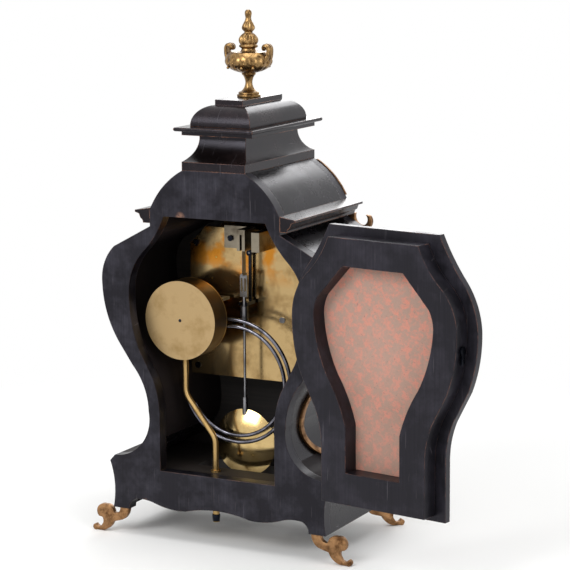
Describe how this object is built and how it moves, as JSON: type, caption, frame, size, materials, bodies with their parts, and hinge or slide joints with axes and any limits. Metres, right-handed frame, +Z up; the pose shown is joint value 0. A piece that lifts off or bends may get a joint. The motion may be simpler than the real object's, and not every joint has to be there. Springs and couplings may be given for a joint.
{
  "type": "bracket clock",
  "caption": "Ebonised wooden bracket clock with waisted cartouche case, domed pediment, urn finial, scroll feet, open back door, spring movement, gong and pendulum.",
  "frame": {"origin": "middle of the case's footprint, on the plane of the four soles", "axes": "+Z up, -Y toward the dial, +Y toward the back door, X = 0 the case's plane of symmetry"},
  "size_m": [0.3543, 0.1777, 0.4218],
  "materials": {
    "ebonised_wood": "ebonised, worn satin polish",
    "inner_wood": "dark stained board",
    "antique_brass": "aged gilt brass",
    "polished_brass": "polished brass",
    "steel": "polished steel",
    "blued_steel": "blued steel",
    "glass": "clear pane",
    "door_cloth": "faded pink woven cloth",
    "enamel": "white enamel"
  },
  "bodies": {
    "case": {"back_panel": "ebonised_wood", "front_panel": "ebonised_wood", "side_panel_left": "ebonised_wood", "side_panel_right": "ebonised_wood", "barrel_roof": "ebonised_wood", "bottom_board": "inner_wood", "corner_blocks": "inner_wood", "side_cornices": "ebonised_wood", "pediment_neck": "ebonised_wood", "pediment_cornice": "ebonised_wood", "pediment_cap": "ebonised_wood", "finial": "antique_brass", "back_feet": "antique_brass", "front_feet": "antique_brass", "arch_trim": "antique_brass", "waist_mounts": "antique_brass", "corner_mounts": "antique_brass", "door_hinge_case": "antique_brass", "front_door_hinges": "antique_brass", "dial_board": "inner_wood", "dial": "enamel", "dial_rim": "antique_brass", "front_plate": "polished_brass", "back_plate": "polished_brass", "plate_pillars": "polished_brass", "movement_screws": "blued_steel", "suspension_cock": "polished_brass", "gong_drum": "polished_brass", "gong_hub": "polished_brass", "gong_coil": "blued_steel", "gong_stand": "antique_brass"},
    "back_door": {"door_board": "ebonised_wood", "door_frame": "ebonised_wood", "door_cloth": "door_cloth", "door_hinge_leaves": "antique_brass"},
    "door_catch": {"door_catch": "steel"},
    "front_door": {"front_door_frame": "antique_brass", "front_glass": "glass"},
    "going_barrel": {"going_barrel": "polished_brass"},
    "strike_barrel": {"strike_barrel": "polished_brass"},
    "going_arbor": {"going_winding_arbor": "steel"},
    "strike_arbor": {"strike_winding_arbor": "steel"},
    "centre_arbor": {"centre_arbor": "polished_brass", "cannon_pinion": "polished_brass", "minute_hand": "blued_steel"},
    "hour_hand": {"hour_wheel": "polished_brass", "hour_hand": "blued_steel"},
    "minute_wheel": {"minute_wheel": "polished_brass"},
    "third_wheel": {"third_wheel": "polished_brass"},
    "escape_wheel": {"escape_wheel": "polished_brass"},
    "anchor": {"pallets": "steel", "crutch": "blued_steel"},
    "pendulum": {"suspension_spring": "steel", "pendulum_rod": "steel", "pendulum_bob": "polished_brass"},
    "rating_nut": {"rating_nut": "polished_brass"},
    "strike_wheel": {"strike_wheel": "polished_brass"},
    "fly": {"fly": "polished_brass"},
    "hammer": {"hammer": "steel"}
  },
  "joints": [
    {"name": "back_door_swing", "type": "hinge", "parent": "case", "child": "back_door", "pos_m": [-0.0788, 0.0653, 0.197], "axis": [0, 0, 1], "range_deg": [-171.2, 3]},
    {"name": "door_catch_turn", "type": "hinge", "parent": "back_door", "child": "door_catch", "pos_m": [-0.22629, 0.10154, 0.187], "axis": [-0.9882, 0.153, 0], "range_deg": [-90, 0]},
    {"name": "front_door_swing", "type": "hinge", "parent": "case", "child": "front_door", "pos_m": [-0.0836, -0.0627, 0.194], "axis": [0, 0, -1], "range_deg": [0, 110]},
    {"name": "centre_turn", "type": "hinge", "parent": "case", "child": "centre_arbor", "pos_m": [0, -0.02, 0.19], "axis": [0, 1, 0], "continuous": true},
    {"name": "going_barrel_turn", "type": "hinge", "parent": "case", "child": "going_barrel", "pos_m": [-0.027, -0.02, 0.1748], "axis": [0, 1, 0], "continuous": true},
    {"name": "hour_turn", "type": "hinge", "parent": "case", "child": "hour_hand", "pos_m": [0, -0.02, 0.19], "axis": [0, 1, 0], "continuous": true},
    {"name": "minute_wheel_turn", "type": "hinge", "parent": "case", "child": "minute_wheel", "pos_m": [0.0096, -0.02, 0.1828], "axis": [0, 1, 0], "continuous": true},
    {"name": "third_turn", "type": "hinge", "parent": "case", "child": "third_wheel", "pos_m": [-0.013, -0.02, 0.20425], "axis": [0, 1, 0], "continuous": true},
    {"name": "escape_turn", "type": "hinge", "parent": "case", "child": "escape_wheel", "pos_m": [0, -0.02, 0.2167], "axis": [0, 1, 0], "continuous": true},
    {"name": "going_winding", "type": "hinge", "parent": "case", "child": "going_arbor", "pos_m": [-0.027, -0.02, 0.1748], "axis": [0, 1, 0], "range_deg": [0, 1440]},
    {"name": "strike_winding", "type": "hinge", "parent": "case", "child": "strike_arbor", "pos_m": [0.027, -0.02, 0.1748], "axis": [0, 1, 0], "range_deg": [0, 1440]},
    {"name": "strike_barrel_turn", "type": "hinge", "parent": "case", "child": "strike_barrel", "pos_m": [0.027, -0.02, 0.1748], "axis": [0, 1, 0], "continuous": true},
    {"name": "strike_wheel_turn", "type": "hinge", "parent": "case", "child": "strike_wheel", "pos_m": [0.037, -0.02, 0.2041], "axis": [0, 1, 0], "continuous": true},
    {"name": "fly_turn", "type": "hinge", "parent": "case", "child": "fly", "pos_m": [0.033, -0.02, 0.2216], "axis": [0, 1, 0], "continuous": true},
    {"name": "hammer_lift", "type": "hinge", "parent": "case", "child": "hammer", "pos_m": [0.0525, -0.02, 0.19], "axis": [0, 1, 0], "range_deg": [-3, 12], "stiffness_Nm_per_rad": 0.01, "springref_deg": 5.16},
    {"name": "pendulum_swing", "type": "hinge", "parent": "case", "child": "pendulum", "pos_m": [0, 0.011, 0.228], "axis": [0, 1, 0], "range_deg": [-4, 4]},
    {"name": "crutch_swing", "type": "hinge", "parent": "case", "child": "anchor", "pos_m": [0, 0, 0.228], "axis": [0, 1, 0], "range_deg": [-4, 4]},
    {"name": "rating_nut_turn", "type": "hinge", "parent": "pendulum", "child": "rating_nut", "pos_m": [0, 0.011, 0.045], "axis": [0, 0, 1], "range_deg": [-720, 720]}
  ],
  "couplings": [
    {"joint": "going_barrel_turn", "follows": "centre_turn", "ratio": -0.2},
    {"joint": "third_turn", "follows": "centre_turn", "ratio": -4},
    {"joint": "escape_turn", "follows": "centre_turn", "ratio": 16},
    {"joint": "minute_wheel_turn", "follows": "centre_turn", "ratio": -0.33333},
    {"joint": "hour_turn", "follows": "centre_turn", "ratio": 0.083333},
    {"joint": "strike_wheel_turn", "follows": "strike_barrel_turn", "ratio": -5},
    {"joint": "fly_turn", "follows": "strike_barrel_turn", "ratio": 20},
    {"joint": "crutch_swing", "follows": "pendulum_swing", "ratio": 1}
  ]
}
